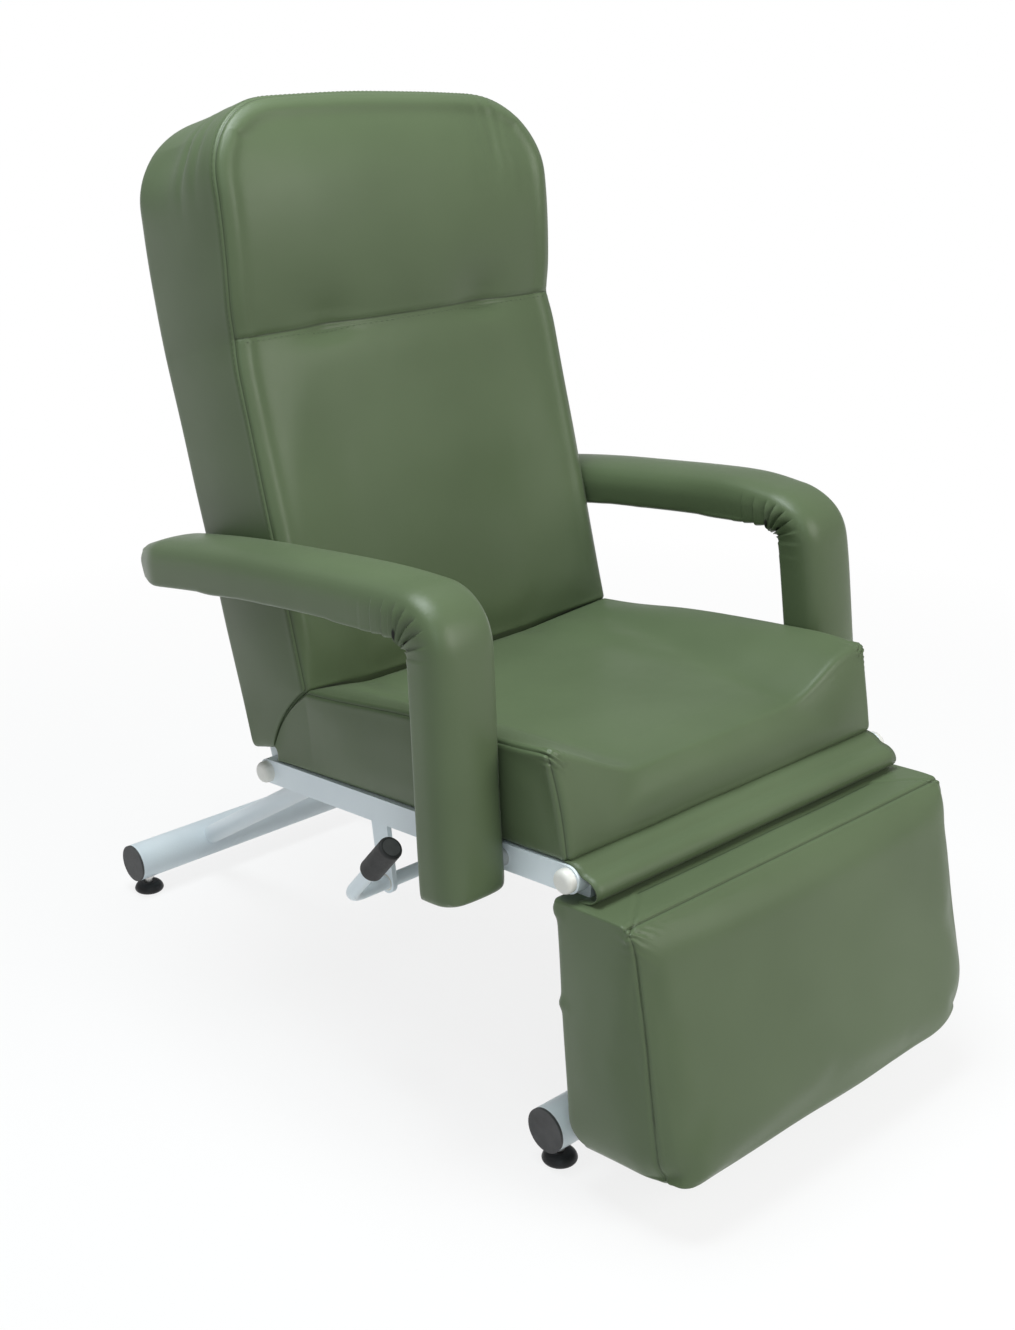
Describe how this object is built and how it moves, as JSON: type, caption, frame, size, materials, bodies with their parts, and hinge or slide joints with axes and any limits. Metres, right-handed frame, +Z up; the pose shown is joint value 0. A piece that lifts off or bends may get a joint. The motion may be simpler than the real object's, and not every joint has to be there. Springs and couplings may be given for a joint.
{
  "type": "medical recliner",
  "caption": "Reclining treatment chair on a tubular base: padded vinyl seat, backrest and legrest that tilt together through a linking rod, padded armrests and a side release lever.",
  "frame": {"origin": "on the floor, under the middle of the chair's box in its upright pose", "axes": "+Z up, the sitter faces -Y, +X to the sitter's left; the release lever is on the -X side"},
  "size_m": [0.6652, 1.042, 1.0583],
  "materials": {
    "vinyl": "sage green coated vinyl with a soft sheen",
    "frame_paint": "light grey powder coat, semi-gloss",
    "cap_white": "white moulded plastic",
    "cap_dark": "dark grey moulded plastic",
    "foot_black": "black moulded plastic",
    "grip_rubber": "black rubber",
    "steel": "zinc plated steel",
    "spring_black": "black enamel",
    "plywood": "raw plywood",
    "nylon": "natural nylon"
  },
  "bodies": {
    "chair_frame": {"base_rear_tube": "frame_paint", "base_front_tube": "frame_paint", "tube_end_caps": "cap_dark", "foot_inserts": "steel", "foot_studs": "steel", "foot_glides": "foot_black", "rear_leg_left": "frame_paint", "rear_leg_right": "frame_paint", "front_leg_left": "frame_paint", "front_leg_right": "frame_paint", "side_rail_left": "frame_paint", "side_rail_right": "frame_paint", "front_cross_member": "frame_paint", "middle_cross_member": "frame_paint", "rear_cross_member": "frame_paint", "rail_bushes": "nylon", "hinge_caps": "cap_white", "seat_board": "plywood", "seat_cushion": "vinyl", "seat_screws": "steel", "spring_bracket": "frame_paint", "lever_hanger": "frame_paint", "lever_bracket": "frame_paint", "lever_bushes": "nylon", "arm_pad_left": "vinyl", "arm_pad_right": "vinyl", "arm_board_left": "plywood", "arm_board_right": "plywood", "arm_bolts": "steel", "arm_spacers": "steel", "hinge_apron": "vinyl"},
    "backrest": {"back_torque_tube": "frame_paint", "back_pivot_bolts": "steel", "back_arm_left": "frame_paint", "back_arm_right": "frame_paint", "back_cross_tubes": "frame_paint", "back_board": "plywood", "back_screws": "steel", "back_cushion": "vinyl", "back_rear_panel": "vinyl", "link_crank_rear": "frame_paint", "spring_crank": "frame_paint", "spring_pin": "steel"},
    "legrest": {"leg_torque_tube": "frame_paint", "leg_pivot_bolts": "steel", "leg_hinge_plate_left": "frame_paint", "leg_hinge_plate_right": "frame_paint", "leg_cushion": "vinyl", "leg_board": "plywood", "link_crank_front": "frame_paint"},
    "link": {"linking_rod": "frame_paint"},
    "spring_body": {"spring_cylinder": "spring_black"},
    "spring_piston": {"spring_rod": "steel"},
    "release_button": {"release_pin": "steel"},
    "release_lever": {"lever_bar": "frame_paint", "lever_grip": "grip_rubber", "lever_finger": "frame_paint"}
  },
  "joints": [
    {"name": "back_recline", "type": "hinge", "parent": "chair_frame", "child": "backrest", "pos_m": [0, 0.1555, 0.303], "axis": [-1, 0, 0], "range_deg": [0, 65]},
    {"name": "legrest_raise", "type": "hinge", "parent": "chair_frame", "child": "legrest", "pos_m": [0, -0.3545, 0.358], "axis": [-1, 0, 0], "range_deg": [0, 65], "deforming": ["hinge_apron"]},
    {"name": "link_turn", "type": "hinge", "parent": "backrest", "child": "link", "pos_m": [0, 0.18774, 0.2524], "axis": [-1, 0, 0], "range_deg": [-65, 0]},
    {"name": "spring_body_turn", "type": "hinge", "parent": "backrest", "child": "spring_body", "pos_m": [0, 0.26808, 0.238], "axis": [-1, 0, 0], "range_deg": [-32.5, 0]},
    {"name": "spring_piston_turn", "type": "hinge", "parent": "chair_frame", "child": "spring_piston", "pos_m": [0, 0.0255, 0.303], "axis": [-1, 0, 0], "range_deg": [0, 32.5]},
    {"name": "lever_lift", "type": "hinge", "parent": "chair_frame", "child": "release_lever", "pos_m": [0, -0.0595, 0.237], "axis": [-1, 0, 0], "range_deg": [0, 6], "stiffness_Nm_per_rad": 8},
    {"name": "release_press", "type": "slide", "parent": "spring_piston", "child": "release_button", "axis": [0, 0.9659, -0.2588], "range_m": [0, 0.006]}
  ],
  "couplings": [
    {"joint": "legrest_raise", "follows": "back_recline", "ratio": 1},
    {"joint": "link_turn", "follows": "back_recline", "ratio": -1},
    {"joint": "spring_body_turn", "follows": "back_recline", "ratio": -0.5},
    {"joint": "spring_piston_turn", "follows": "back_recline", "ratio": 0.5},
    {"joint": "release_press", "follows": "lever_lift", "m_per_rad": 0.057286}
  ]
}
